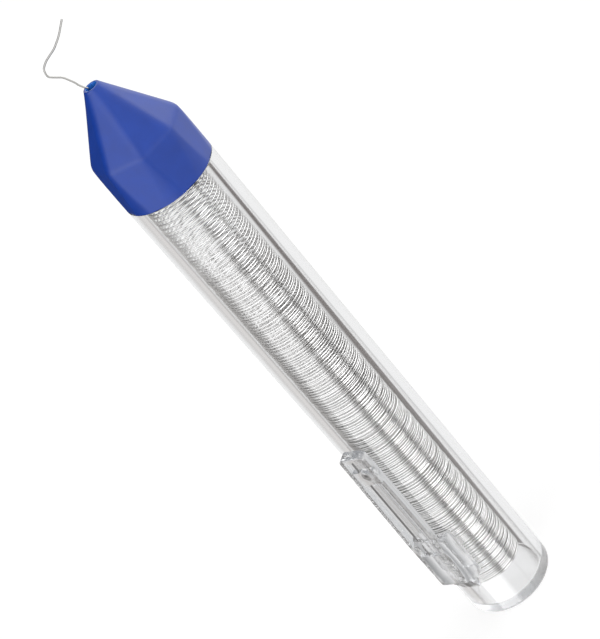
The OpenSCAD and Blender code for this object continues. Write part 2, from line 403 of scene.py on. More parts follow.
tube_outline = [(r, 0) for r in BASE_RINGS] + [(TUBE_R - FOOT_R - STAY, 0)]
tube_outline += arc((TUBE_R - FOOT_R, FOOT_R), FOOT_R, -90, 0, FOOT_STEPS)
tube_outline += [(TUBE_R, FOOT_R + STAY)] + [(TUBE_R, z) for z in WALL_RINGS]
tube_outline += [(TUBE_R, SHOULDER_Z - EDGE_R - STAY)]
tube_outline += arc((TUBE_R - EDGE_R, SHOULDER_Z - EDGE_R), EDGE_R, 0, 90, EDGE_STEPS)
tube_outline += [(NECK_R + STAY, SHOULDER_Z), (NECK_R, SHOULDER_Z), (NECK_R, SHOULDER_Z + STAY)]
tube_outline += [(NECK_R, NECK_TOP - EDGE_R - STAY)]
tube_outline += arc((NECK_R - EDGE_R, NECK_TOP - EDGE_R), EDGE_R, 0, 90, EDGE_STEPS)
tube_outline += arc((BORE_R + EDGE_R, NECK_TOP - EDGE_R), EDGE_R, 90, 180, EDGE_STEPS)
tube_outline += [(BORE_R, NECK_TOP - EDGE_R - STAY)]
tube_outline += [(BORE_R, z) for z in BORE_RINGS] + [(BORE_R, BASE_T + FLOOR_R + STAY)]
tube_outline += arc((BORE_R - FLOOR_R, BASE_T + FLOOR_R), FLOOR_R, 0, -90, FLOOR_STEPS)
tube_outline += [(BORE_R - FLOOR_R - STAY, BASE_T)] + [(r, BASE_T) for r in FLOOR_RINGS]
print("the tube's outline has", len(tube_outline), "points")

# %% Tube
ROUND_SIDES = 192
TUBE_SHARP = 50
around = np.linspace(0, 2 * math.pi, ROUND_SIDES, endpoint=False)


def ring_at(r, z):
    """A ring of points at one height, with one radius or a radius for each point."""
    return np.stack([r * np.cos(around), r * np.sin(around), np.full_like(around, z)], 1)


def turned(outline):
    """Rings of points for an outline turned round the tube's axis."""
    return [np.array([(0.0, 0.0, z)]) if r == 0 else ring_at(r, z) for r, z in outline]


tube_mesh = skin_rings("tube_shell", turned(tube_outline))
finish_mesh(tube_mesh, clear_plastic, TUBE_SHARP)
tube_shell = add_object("tube_shell", tube_mesh)
tube_shell.visible_shadow = False
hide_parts("tube")
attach(tube_shell, "tube")

# %% [markdown]
# ## The pocket clip
# The clip is moulded with the tube. Its root is a block with hollow sides on a narrow foot, and its arm
# has two grooves in the outer face, a rib between them, a bridge over both and a domed nub inside that
# grips the cloth. Boxes cut with booleans would leave slivers where the root flares. Stacked
# cross-sections that share one order of points give clean strips of faces instead, and points that fall
# together are joined, so a groove ends in a clean wall. A bevel then softens every edge. The root stops
# a hair short of the tube's wall, because light that ran on into the wall would leave the root black.

# %% The clip's faces
CLIP_T = 1.7
CLIP_TOP = 46.5
CLIP_ROUND = 0.5
NUB_X = 9.8
NUB_Z = 41.2
NUB_R = 1.5
ROOT_LOW = 8.2
ROOT_EDGE = 13.2
ROOT_ROUND = 1.0
ROOT_TOP = 22.4
ROOT_SEAT = 8.115
FOOT_T = 0.1
LIFT_OFF = 0.4
BEND_Z = 24
FACE_HEIGHTS = (ROOT_EDGE, BEND_Z, CLIP_TOP)
FACE_OUT = (11.0, 10.75, 10.35)


def clip_outside(z):
    """Distance of the clip's outer face from the axis: a slope, a round edge, the face, a round end."""
    low = ROOT_EDGE - ROOT_ROUND
    high = CLIP_TOP - CLIP_ROUND
    face = np.interp(z, FACE_HEIGHTS, FACE_OUT)
    if z < low:
        return np.interp(z, (ROOT_LOW, low), (TUBE_R + FOOT_T, face - ROOT_ROUND))
    if z < ROOT_EDGE:
        return face - ROOT_ROUND + math.sqrt(ROOT_ROUND**2 - (ROOT_EDGE - z) ** 2)
    if z > high:
        return face - CLIP_ROUND + math.sqrt(max(CLIP_ROUND**2 - (z - high) ** 2, 0))
    return face


def clip_inside(y, z):
    """Distance of the clip's inner face: seated at the tube's wall, then free of it, with a nub."""
    seated = math.sqrt(ROOT_SEAT**2 - y**2)
    if z <= ROOT_TOP:
        return seated
    free = np.interp(z, FACE_HEIGHTS, FACE_OUT) - CLIP_T
    nub = NUB_R**2 - (z - NUB_Z) ** 2 - y**2
    if nub > 0:
        free = min(free, NUB_X - math.sqrt(nub))
    lifted = min((z - ROOT_TOP) / LIFT_OFF, 1)
    return seated + (free - seated) * math.sin(lifted * math.pi / 2)


print("cloth under the nub has", round(clip_inside(0, NUB_Z) - TUBE_R, 2), "mm before the arm bends")

# %% The clip's cross-section
CLIP_CORNER = 1.1
RAIL_W = 0.7
RIB_W = 0.5
FOOT_HALF_W = 1.6
FACE_HALF_W = (2.5, 2.75, 2.42)
ROOT_SIDE_Z = (8.2, 10.2, 10.7, 11.0, 11.4, 12.2, 20.8, 22.4, 24.0)
ROOT_HALF_W = (1.6, 2.0, 2.5, 3.1, 3.5, 3.7, 3.75, 3.75, 0.0)
HOLLOW_Z = (ROOT_EDGE, 16, 19, 21.5)
HOLLOW = (0, 0.3, 0.3, 0)
INNER_SHARES = (0, 0.12, 0.24, 0.36, 0.5, 0.75, 1)
SIDE_SHARES = (0.25, 0.5, 0.75)


def clip_section(z, groove):
    """One closed cross-section of the clip, in the same order of points at every height."""
    arm_w = np.interp(z, (ROOT_LOW,) + FACE_HEIGHTS, (FOOT_HALF_W,) + FACE_HALF_W)
    past = min(max(z - CLIP_TOP + CLIP_CORNER, 0) / CLIP_CORNER, 1)
    arm_w -= CLIP_CORNER * (1 - math.sqrt(1 - past**2))
    root_w = np.interp(z, ROOT_SIDE_Z, ROOT_HALF_W)
    inner_w = max(arm_w, root_w)
    hollow = np.interp(z, HOLLOW_Z, HOLLOW)
    out = clip_outside(z)
    inner_x = clip_inside(inner_w, z)
    half = [(clip_inside(inner_w * s, z), inner_w * s) for s in INNER_SHARES]
    for s in SIDE_SHARES:
        bow = hollow * 4 * s * (1 - s)
        half.append((inner_x + (out - inner_x) * s, inner_w + (arm_w - inner_w) * s - bow))
    half += [
        (out, arm_w),
        (out, arm_w - RAIL_W),
        (out - groove, arm_w - RAIL_W),
        (out - groove, RIB_W / 2),
        (out, RIB_W / 2),
        (out, 0),
    ]
    other_half = [(x, -y) for x, y in half[-2:0:-1]]
    return np.array([(x, y, z) for x, y in half + other_half])


print("each cross-section has", len(clip_section(BEND_Z, 0)), "points")

# %% Stack the cross-sections
GROOVE_DEPTH = 0.9
GROOVES = ((20.6, 39.5), (42.9, 45.2))
FOOT_LEVELS = (ROOT_LOW, 9.2, 10.2, 10.7, 11.0, 11.4)
EDGE_LEVELS = np.linspace(ROOT_EDGE - ROOT_ROUND, ROOT_EDGE, 6)
ROOT_LEVELS = (14.5, 16, 17.5, 19, 20, 20.8, 21.5, ROOT_TOP)
LIFT_LEVELS = (22.5, 22.6, 22.8, 23.0, 23.2, 23.6, BEND_Z)
ARM_LEVELS = (24.5, 25, 25.6, 26.2, 26.8, 27.4, 30, 34, 37, 44)
NUB_LEVELS = np.linspace(40.0, 42.4, 9)
END_STEPS = np.sin(np.radians(np.linspace(0, 90, 8)))

groove_starts, groove_stops = zip(*GROOVES)
heights = [*FOOT_LEVELS, *EDGE_LEVELS, *ROOT_LEVELS, *LIFT_LEVELS, *ARM_LEVELS, *NUB_LEVELS]
heights += [*groove_starts, *groove_stops]
heights += [CLIP_TOP - CLIP_CORNER * (1 - step) for step in END_STEPS]

clip_rings = []
for z in sorted(heights):
    depth = max(GROOVE_DEPTH if low < z < high else 0 for low, high in GROOVES)
    if z in groove_starts:
        clip_rings += [clip_section(z, 0), clip_section(z, GROOVE_DEPTH)]
    elif z in groove_stops:
        clip_rings += [clip_section(z, GROOVE_DEPTH), clip_section(z, 0)]
    else:
        clip_rings.append(clip_section(z, depth))
clip_rings.insert(0, clip_rings[0].mean(0, keepdims=True))
clip_rings.append(clip_rings[-1].mean(0, keepdims=True))
print("the clip is stacked from", len(clip_rings), "sections")

# %% Pocket clip
CLIP_SHARP = 30
SOFT_EDGE = 0.1
SOFT_STEPS = 2
SOFT_FROM = 28


def plain_mesh(made):
    """Replaces an object's mesh by what its modifiers make of it, and removes them."""
    graph = bpy.context.evaluated_depsgraph_get()
    mesh = bpy.data.meshes.new_from_object(made.evaluated_get(graph))
    made.modifiers.clear()
    made.data = mesh
    return mesh


clip_mesh = skin_rings("pocket_clip", clip_rings)
finish_mesh(clip_mesh, clip_plastic, CLIP_SHARP)
pocket_clip = add_object("pocket_clip", clip_mesh)
bevel = pocket_clip.modifiers.new("soft_edges", "BEVEL")
bevel.width = SOFT_EDGE * MM
bevel.segments = SOFT_STEPS
bevel.limit_method = "ANGLE"
bevel.angle_limit = math.radians(SOFT_FROM)
soft_mesh = plain_mesh(pocket_clip)
print("with soft edges it has", len(soft_mesh.polygons), "faces")
pocket_clip.visible_shadow = False
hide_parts("clip_arm")
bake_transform(pocket_clip)

# %% [markdown]
# ## The nozzle cap
# The cap starts round at the rim, so that it is flush with the tube, and turns into eight flats. Above
# its shoulder it closes to a round nozzle. A cone with few sides would be too hard at its edges, and a
# bevel can't fade flats into a round. So each ring is an octagon with rounded corners, worked out from
# its own apothem and corner radius, and the two slopes meet in a soft bend. The inside is turned, as
# in the solid, and the skin runs round through the nozzle's hole.

# %% The cap's outside
CAP_SIDES = 8
CAP_TURN = math.radians(-7)
RIM_FLAT = 0.12
SKIRT_H = 8.6
CONE_H = 10.4
CAP_TOP = SKIRT_H + CONE_H
FLAT_R = 7.58
TIP_R = 1.35
RIDGE_R = 2.1
RIDGE_FADE = 3
SHOULDER_SOFT = 0.15
WALL_SOFT = 0.02


def soft_least(a, b, softness):
    """The smaller of two values, with a round passage from one to the other."""
    return -softness * np.log(np.exp(-a / softness) + np.exp(-b / softness))


def cap_radius(h):
    """Radius all round the cap's outside at a height above the rim."""
    skirt = TUBE_R - RIM_FLAT + (FLAT_R - TUBE_R + RIM_FLAT) * h / SKIRT_H
    share = np.clip((h - SKIRT_H) / CONE_H, 0, 1)
    cone = FLAT_R + (TIP_R - FLAT_R) * (h - SKIRT_H) / CONE_H
    flat = soft_least(skirt, cone, SHOULDER_SOFT)
    corner = RIDGE_R + (flat - RIDGE_R) * share**RIDGE_FADE
    half_side = math.pi / CAP_SIDES
    off = np.abs((around - CAP_TURN) % (2 * half_side) - half_side)
    to_corner = half_side - off
    middle = (flat - corner) / math.cos(half_side)
    on_flat = flat / np.cos(off)
    inside = np.maximum(corner**2 - (middle * np.sin(to_corner)) ** 2, 0)
    on_corner = middle * np.cos(to_corner) + np.sqrt(inside)
    is_flat = flat * np.tan(off) <= (flat - corner) * math.tan(half_side)
    return soft_least(np.where(is_flat, on_flat, on_corner), TUBE_R, WALL_SOFT)


def cap_ring(h, drop=0.0):
    """One ring of the cap's outside, drawn in by a little where an edge is rounded."""
    return ring_at(cap_radius(h) - drop, SHOULDER_Z + h)


print("the cap is", round(2 * cap_radius(SKIRT_H).max(), 2), "mm across at its shoulder's ridges")

# %% Nozzle cap
RIM_EDGE = 0.05
LIP_R = 0.12
LIP_STEPS = 5
NOZZLE_R = 0.95
NOZZLE_EDGE = 0.1
HOLE_STEPS = 3
CAP_BORE = (
    (NOZZLE_R, 18), (NOZZLE_R, 17), (3.6, 12.8), (6.28, 8.6), (6.28, 5.2), (7.26, 5.2), (7.26, 0),
)
SKIRT_LEVELS = np.linspace(0.4, SKIRT_H - 0.8, 14)
SHOULDER_LEVELS = np.linspace(SKIRT_H - 0.6, SKIRT_H + 0.6, 13)
CONE_LEVELS = np.linspace(SKIRT_H + 0.9, CAP_TOP - LIP_R, 26)
CAP_SHARP = 40

rim_edge = arc((RIM_EDGE, RIM_EDGE), RIM_EDGE, -90, -180, LIP_STEPS)
cap_rings = [cap_ring(z, drop) for drop, z in rim_edge]
cap_rings += [cap_ring(h) for h in (*SKIRT_LEVELS, *SHOULDER_LEVELS, *CONE_LEVELS)]
lip = arc((LIP_R, CAP_TOP - LIP_R), LIP_R, 180, 90, LIP_STEPS)[1:]
for drop, z in lip:
    cap_rings.append(cap_ring(CAP_TOP - LIP_R, drop) + np.array([0, 0, z - CAP_TOP + LIP_R]))
hole_edge = (NOZZLE_R + NOZZLE_EDGE, CAP_TOP - NOZZLE_EDGE)
cap_inside = [(NOZZLE_R + NOZZLE_EDGE, CAP_TOP)]
cap_inside += arc(hole_edge, NOZZLE_EDGE, 120, 180, HOLE_STEPS)
cap_inside += CAP_BORE
cap_rings += turned([(r, SHOULDER_Z + h) for r, h in cap_inside])
cap_mesh = skin_rings("nozzle_cap", cap_rings, looped=True)
finish_mesh(cap_mesh, blue_plastic, CAP_SHARP)
nozzle_cap = add_object("nozzle_cap", cap_mesh)
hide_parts("cap")
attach(nozzle_cap, "cap")

# %% [markdown]
# ## Geometry Nodes for wire
# Wire follows a path, and a coil's path is a rule: so much round and so much up for each step. Points
# on a line can be moved by that rule in nodes, made a curve, and swept with a small circle. A spiral
# from the curve primitives would have an even pitch, which a slack coil hasn't. The helpers below start
# a tree with named inputs, sweep a curve, end a tree, and run it on an object.

# %% Helpers for Geometry Nodes


def new_tree(name, inputs):
    """A Geometry Nodes tree with named inputs, its input outlets and its output socket."""
    tree = bpy.data.node_groups.new(name, "GeometryNodeTree")
    for label, kind in inputs.items():
        tree.interface.new_socket(label, in_out="INPUT", socket_type="NodeSocket" + kind)
    tree.interface.new_socket("Geometry", in_out="OUTPUT", socket_type="NodeSocketGeometry")
    entry = tree.nodes.new("NodeGroupInput")
    leave = tree.nodes.new("NodeGroupOutput")
    return tree, entry.outputs, leave.inputs["Geometry"]


def between(tree, a, b, share):
    """The point that lies part of the way from one point to another."""
    inputs = {0: share, 4: a, 5: b}
    return node_of(tree, "ShaderNodeMix", inputs, out=1, data_type="VECTOR", clamp_factor=False)


def sweep(tree, curve, given):
    """A round, smooth wire along a curve, closed at its ends, with the tree's own radius and sides."""
    size = {"Resolution": given["Sides"], "Radius": given["Wire Radius"]}
    circle = node_of(tree, "GeometryNodeCurvePrimitiveCircle", size)
    along = {"Curve": curve, "Profile Curve": circle, "Fill Caps": True}
    wall = node_of(tree, "GeometryNodeCurveToMesh", along)
    return node_of(tree, "GeometryNodeSetShadeSmooth", {"Geometry": wall})


def end_tree(tree, wire, given, leave):
    """Makes a tree's wire real, gives it the tree's material and sends it out."""
    real = node_of(tree, "GeometryNodeRealizeInstances", {"Geometry": wire})
    finished = {"Geometry": real, "Material": given["Material"]}
    tree.links.new(node_of(tree, "GeometryNodeSetMaterial", finished), leave)


def grow(made, tree, values):
    """Runs a tree on an object with the given inputs and keeps the result as a plain mesh."""
    modifier = made.modifiers.new(tree.name, "NODES")
    modifier.node_group = tree
    for item in tree.interface.items_tree:
        if item.in_out == "INPUT" and item.name in values:
            modifier[item.identifier] = values[item.name]
    mesh = plain_mesh(made)
    print(made.name, "has", len(mesh.polygons), "faces from", len(tree.nodes), "nodes")


# %% [markdown]
# ## The coil
# The coil is close wound at the bottom, where the turns have slid together, and more and more open
# towards the cap. The height of a point is its number of turns times the close pitch, plus a climb that
# grows with a high power of the turns, so it matters only near the top. A slow noise shifts the turns a
# little, as the spring of real wire does. The last turn leaves the wall and swings up to the middle,
# where it runs straight into the cap. A second layer lies inside and ends lower, because wire shows
# between the lower turns, not daylight. Two trees would repeat the rule, so one tree runs twice on the
# same object, and its second run adds the outer layer to what is there so far.

# %% The coil's tree
coil_tree, given, coil_out = new_tree("winding", {
    "So Far": "Geometry",
    "Turns": "Int",
    "Points per Turn": "Int",
    "Coil Radius": "Float",
    "Middle": "Float",
    "Lowest": "Float",
    "Close Pitch": "Float",
    "Loose Climb": "Float",
    "Loosening": "Float",
    "Sway": "Float",
    "Rise Sway": "Float",
    "Depth": "Float",
    "Seed": "Float",
    "Lead Points": "Int",
    "Lead Swing": "Vector",
    "Lead Rise": "Vector",
    "Straight Start": "Vector",
    "Wire Radius": "Float",
    "Sides": "Int",
    "Material": "Material",
})


def coil_sum(operation, *values):
    """One step of arithmetic in the coil's tree."""
    return calc(coil_tree, operation, *values)


index = node_of(coil_tree, "GeometryNodeInputIndex", {})
helix_points = coil_sum("MULTIPLY", given["Turns"], given["Points per Turn"])
turns_done = coil_sum("DIVIDE", coil_sum("MINIMUM", index, helix_points), given["Points per Turn"])
turns_left = coil_sum("SUBTRACT", given["Turns"], turns_done)
angle = coil_sum("SUBTRACT", math.pi, coil_sum("MULTIPLY", turns_left, 2 * math.pi))
settled = coil_sum("MINIMUM", turns_left, 1.0)

# %% The helix
RISE_PACE = 0.31
SIDE_PACE = 0.43
RISE_DRAW = 3.0
X_DRAW = 17.0
Y_DRAW = 41.0


def swayed(size, pace, draw):
    """A smooth shift either way that changes over several turns and dies out at the last one."""
    sway = coil_sum("MULTIPLY", given[size], settled)
    start = coil_sum("ADD", given["Seed"], draw)
    where = coil_sum("ADD", coil_sum("MULTIPLY", turns_done, pace), start)
    noise = node_of(coil_tree, "ShaderNodeTexNoise", {"W": where, "Scale": 1.0}, noise_dimensions="1D")
    return coil_sum("MULTIPLY", sway, coil_sum("MULTIPLY_ADD", noise, 2.0, -1.0))


wound_share = coil_sum("DIVIDE", turns_done, given["Turns"])
loose_share = coil_sum("POWER", wound_share, given["Loosening"])
loose = coil_sum("MULTIPLY", given["Loose Climb"], loose_share)
climb = coil_sum("MULTIPLY_ADD", turns_done, given["Close Pitch"], loose)
risen = coil_sum("ADD", given["Lowest"], climb)
helix_x = coil_sum("MULTIPLY_ADD", coil_sum("COSINE", angle), given["Coil Radius"], given["Middle"])
helix_y = coil_sum("MULTIPLY", coil_sum("SINE", angle), given["Coil Radius"])
helix_point = node_of(coil_tree, "ShaderNodeCombineXYZ", {
    "X": coil_sum("ADD", helix_x, swayed("Sway", SIDE_PACE, X_DRAW)),
    "Y": coil_sum("ADD", helix_y, swayed("Sway", SIDE_PACE, Y_DRAW)),
    "Z": coil_sum("ADD", risen, swayed("Rise Sway", RISE_PACE, RISE_DRAW)),
})

# %% The lead and the sweep
lead_share = coil_sum("DIVIDE", coil_sum("SUBTRACT", index, helix_points), given["Lead Points"])
swung = node_of(coil_tree, "ShaderNodeVectorMath", {0: helix_point, 1: given["Lead Swing"]})
lowered = {0: given["Straight Start"], 1: given["Lead Rise"]}
below = node_of(coil_tree, "ShaderNodeVectorMath", lowered, operation="SUBTRACT")
path = [helix_point, swung, below, given["Straight Start"]]
while len(path) > 1:
    path = [between(coil_tree, a, b, lead_share) for a, b in zip(path, path[1:])]
is_lead = node_of(
    coil_tree, "FunctionNodeCompare", {"A": lead_share, "B": 0.0}, operation="GREATER_THAN"
)
either = {"Switch": is_lead, "False": helix_point, "True": path[0]}
wire_point = node_of(coil_tree, "GeometryNodeSwitch", either, input_type="VECTOR")

count = coil_sum("ADD", coil_sum("ADD", helix_points, given["Lead Points"]), 1.0)
wire_line = node_of(coil_tree, "GeometryNodeMeshLine", {"Count": count})
wire_line = node_of(
    coil_tree, "GeometryNodeSetPosition", {"Geometry": wire_line, "Position": wire_point}
)
for name, value in (("turn", turns_done), ("depth", given["Depth"])):
    stored = {"Geometry": wire_line, "Name": name, "Value": value}
    wire_line = node_of(coil_tree, "GeometryNodeStoreNamedAttribute", stored)
coil_curve = node_of(coil_tree, "GeometryNodeMeshToCurve", {"Mesh": wire_line})
layers = coil_tree.nodes.new("GeometryNodeJoinGeometry")
coil_tree.links.new(sweep(coil_tree, coil_curve, given), layers.inputs[0])
coil_tree.links.new(given["So Far"], layers.inputs[0])
end_tree(coil_tree, layers.outputs[0], given, coil_out)
print("the winding has", len(coil_tree.nodes), "nodes")

# %% The inner layer
WIRE_R = 0.15
COIL_X = 0.7
COIL_LOW = 7.2
SWAY = 0.09
LEAD_SWING = 4.0
LEAD_RISE = 2.5
STRAIGHT_X = 0.366
STRAIGHT_Y = -0.341
LEAD_TOP = 106.0
INNER_TURNS = 190
INNER_POINTS = 24
INNER_SIDES = 5
INNER_SEED = 31.0
INNER_R = 5.12
INNER_TOP = 86.0
INNER_PITCH = 0.31
INNER_LOOSENING = 6.0

inner_climb = INNER_TOP - COIL_LOW - INNER_PITCH * INNER_TURNS
wound_wire = add_object("wound_wire", bpy.data.meshes.new("wound_wire"))
winding = {
    "Turns": INNER_TURNS,
    "Points per Turn": INNER_POINTS,
    "Coil Radius": INNER_R * MM,
    "Middle": COIL_X * MM,
    "Lowest": COIL_LOW * MM,
    "Close Pitch": INNER_PITCH * MM,
    "Loose Climb": inner_climb * MM,
    "Loosening": INNER_LOOSENING,
    "Sway": SWAY * MM,
    "Rise Sway": SWAY * MM,
    "Depth": 1.0,
    "Seed": INNER_SEED,
    "Lead Points": 0,
    "Lead Swing": (0, -LEAD_SWING * MM, 0),
    "Lead Rise": (0, 0, LEAD_RISE * MM),
    "Straight Start": (STRAIGHT_X * MM, STRAIGHT_Y * MM, LEAD_TOP * MM),
    "Wire Radius": WIRE_R * MM,
    "Sides": INNER_SIDES,
    "Material": bright_wire,
}
grow(wound_wire, coil_tree, winding)

# %% The outer layer
COIL_TURNS = 184
COIL_POINTS = 36
COIL_SIDES = 6
COIL_SEED = 5.0
COIL_R = 5.45
COIL_TOP = 101.4
CLOSE_PITCH = 0.43
LOOSENING = 4.0
RISE_SWAY = 0.5
LEAD_POINTS = 40

loose_climb = COIL_TOP - COIL_LOW - CLOSE_PITCH * COIL_TURNS
top_pitch = CLOSE_PITCH + LOOSENING * loose_climb / COIL_TURNS
print("outer pitch from", CLOSE_PITCH, "to", round(top_pitch, 2), "mm")
winding |= {
    "Turns": COIL_TURNS,
    "Points per Turn": COIL_POINTS,
    "Coil Radius": COIL_R * MM,
    "Close Pitch": CLOSE_PITCH * MM,
    "Loose Climb": loose_climb * MM,
    "Loosening": LOOSENING,
    "Rise Sway": RISE_SWAY * MM,
    "Depth": 0.0,
    "Seed": COIL_SEED,
    "Lead Points": LEAD_POINTS,
    "Sides": COIL_SIDES,
}
grow(wound_wire, coil_tree, winding)
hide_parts("wire_coil")
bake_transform(wound_wire)

# %% [markdown]
# ## The drawn end
# The wire runs straight through the cap and leaves the nozzle at the hole's edge. Outside, it keeps the
# bends that fingers gave it. A curve object could hold these points, but the same sweep as the coil's
# keeps the wire's look the same, so the points go in as a plain line of vertices, and the nodes smooth
# and sweep it.

# %% The drawn end's path
TIP_Z = 121.4
STRAIGHT_STEPS = 12
TAIL_TURN = math.radians(137)
TAIL_BENDS = (
    (-0.78, 0.5), (-1.2, 1.37), (-1.44, 2.15), (-1.88, 3.12), (-2.26, 3.84), (-2.87, 4.43),
    (-3.42, 4.94), (-3.77, 5.4), (-3.75, 6.02), (-3.54, 6.6), (-3.16, 6.96), (-2.47, 7.36),
    (-1.55, 7.67), (-0.6, 7.96), (0.37, 8.48), (1.26, 9.06), (2.14, 9.78), (3.11, 10.61),
)

tail_path = [(STRAIGHT_X, STRAIGHT_Y, z) for z in np.linspace(LEAD_TOP, TIP_Z, STRAIGHT_STEPS)]
for out, up in TAIL_BENDS:
    tail_path.append((out * math.cos(TAIL_TURN), out * math.sin(TAIL_TURN), TIP_Z + up))
tail_edges = [(i, i + 1) for i in range(len(tail_path) - 1)]
tail_line = bpy.data.meshes.new("drawn_end")
tail_line.from_pydata([Vector(p) * MM for p in tail_path], tail_edges, [])
print("the drawn end follows", len(tail_path), "points")

# %% Drawn end
DRAWN_STEPS = 150
DRAWN_SIDES = 12

tail_tree, given, tail_out = new_tree("drawn_wire", {
    "Line": "Geometry",
    "Steps": "Int",
    "Wire Radius": "Float",
    "Sides": "Int",
    "Material": "Material",
})
tail_curve = node_of(tail_tree, "GeometryNodeMeshToCurve", {"Mesh": given["Line"]})
tail_curve = node_of(
    tail_tree, "GeometryNodeCurveSplineType", {"Curve": tail_curve}, spline_type="CATMULL_ROM"
)
tail_curve = node_of(
    tail_tree, "GeometryNodeResampleCurve", {"Curve": tail_curve, "Count": given["Steps"]}
)
end_tree(tail_tree, sweep(tail_tree, tail_curve, given), given, tail_out)

drawn_end = add_object("drawn_end", tail_line)
# The free end's wire has darker greys: painted shade.
grow(drawn_end, tail_tree, {
    "Steps": DRAWN_STEPS,
    "Wire Radius": WIRE_R * MM,
    "Sides": DRAWN_SIDES,
    "Material": painted_shade_wire,
})
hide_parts("wire_tail")
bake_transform(drawn_end)

# %% [markdown]
# ## The studio
# Clear plastic and bright metal show little of their own: they show the room. Before a plain white they
# would vanish, so a photographer hangs grey panels out of sight, and their mirror images draw the edges
# and bands. Real panels would be many and would throw shadows, so here they are ramps of grey by the
# direction round the tube, counted in degrees from the camera's side. Each kind of light meets a ramp
# of its own: light that the open surfaces scatter, light that the tube's skin mirrors, light that has
# bounced inside the plastic and comes from below or above, and light that leaves the clip's soft skin.
# The straight view stays white, but one dark strip shows where the tube's wall bends it into sight.

# %% The panels' greys
OPEN_PANELS = (
    (-180, 1.2), (-172, 0.05), (-105, 0.05), (-93, 0.4), (-82, 0.9), (-74, 1.75), (-22, 1.65),
    (-10, 0.9), (0, 0.7), (12, 0.7), (24, 0.9), (50, 1.0), (80, 1.05), (100, 1.2), (130, 1.2),
    (140, 1.0), (168, 1.0), (174, 1.2),
)
SKIN_PANELS = (
    (-180, 1.0), (-74, 1.0), (-64, 6.0), (-24, 6.0), (-9, 1.0), (27, 1.0), (29, 0.1), (34, 0.1),
    (36, 1.0),
)
REAR_PANELS = ((-180, 0.8), (-163, 0.75), (-152, 0.62), (-146, 0.56), (-138, 0.69), (-128, 0.69))
LOW_PANELS = REAR_PANELS + (
    (-120, 0.35), (-99, 0.35), (-92, 0.86), (-16, 0.86), (-11, 0.25), (6, 0.25), (9, 0.15),
    (46, 0.15), (50, 0.05), (64, 0.05), (67, 0.15), (116, 0.2), (128, 0.9),
)
HIGH_PANELS = REAR_PANELS + (
    (-120, 0.5), (-99, 0.5), (-92, 1.25), (-16, 1.2), (-11, 0.35), (6, 0.35), (10, 4.1), (46, 3.9),
    (50, 0.15), (63, 0.15), (67, 3.2), (76, 3.2), (80, 2.2), (88, 2.2), (96, 1.7), (116, 1.1),
    (128, 0.9),
)
CLIP_PANELS = (
    (-180, 0.66), (-120, 0.38), (-60, 0.95), (0, 0.43), (60, 0.78), (120, 0.4), (170, 0.66),
)
EDGE_STRIP = (
    (-180, 0.86), (120, 0.86), (135, 1.08), (147, 1.08), (150.5, 0.03), (158.5, 0.03), (162, 0.86),
)
FULL_TURN = 360
BRIGHTEST = 10.0
TINTED_UNDER = 0.7
WARM = (1.0, 0.97, 0.95)
COOL = (0.97, 0.985, 1.0)
BROWN = (1.0, 0.3, 0.1)
PLAIN = (1, 1, 1)


def panel_light(tree, share, panels, tint=WARM):
    """Light of the panels for a direction round the tube, given as a share of a full turn."""
    stops = []
    for degrees, grey in panels:
        shade = tint if grey < TINTED_UNDER else PLAIN
        stops.append((degrees / FULL_TURN + 0.5, [grey * part / BRIGHTEST for part in shade] + [1]))
    inputs = {0: ramp_of(tree, share, stops), "Scale": BRIGHTEST}
    return node_of(tree, "ShaderNodeVectorMath", inputs, operation="SCALE")


# %% Directions and kinds of ray
ONE_OR_MORE = 0.5
TWO_CROSSINGS = 2.5

world = bpy.data.worlds.new("studio")
world.use_nodes = True
scene.world = world
sky = world.node_tree
split = sky.nodes.new("ShaderNodeSeparateXYZ")
sky.links.new(node_of(sky, "ShaderNodeTexCoord", {}, out="Generated"), split.inputs["Vector"])
east, north, rise = split.outputs
turned_by = calc(sky, "SUBTRACT", calc(sky, "ARCTAN2", north, east), CAMERA_TURN)
wrapped = calc(sky, "WRAP", turned_by, math.pi, -math.pi)
share = calc(sky, "MULTIPLY_ADD", wrapped, 0.5 / math.pi, 0.5)

ray = sky.nodes.new("ShaderNodeLightPath").outputs
inside = calc(sky, "GREATER_THAN", ray["Transmission Depth"], ONE_OR_MORE)
bounced = calc(sky, "ADD", ray["Glossy Depth"], ray["Diffuse Depth"])
unbounced = calc(sky, "LESS_THAN", bounced, ONE_OR_MORE)
clean = calc(sky, "MULTIPLY", ray["Is Transmission Ray"], unbounced)
straight = calc(sky, "MAXIMUM", ray["Is Camera Ray"], clean)
skin_ray = calc(sky, "MULTIPLY", ray["Is Glossy Ray"], ray["Is Singular Ray"])
blurred = calc(sky, "SUBTRACT", 1.0, ray["Is Singular Ray"])
soft_exit = calc(sky, "MULTIPLY", ray["Is Transmission Ray"], blurred)
one_piece = calc(sky, "LESS_THAN", ray["Transmission Depth"], TWO_CROSSINGS)
from_clip = calc(sky, "MULTIPLY", soft_exit, one_piece)

# %% What open surfaces and the tube's skin meet
WHITE = (1, 1, 1, 1)
BAND_LEVEL = 0.12
BAND_HALF = 0.3
BAND_GAIN = 0.7
SKIN_BELOW = -0.41
SKIN_ABOVE = -0.76
SKIN_FADE = 0.07

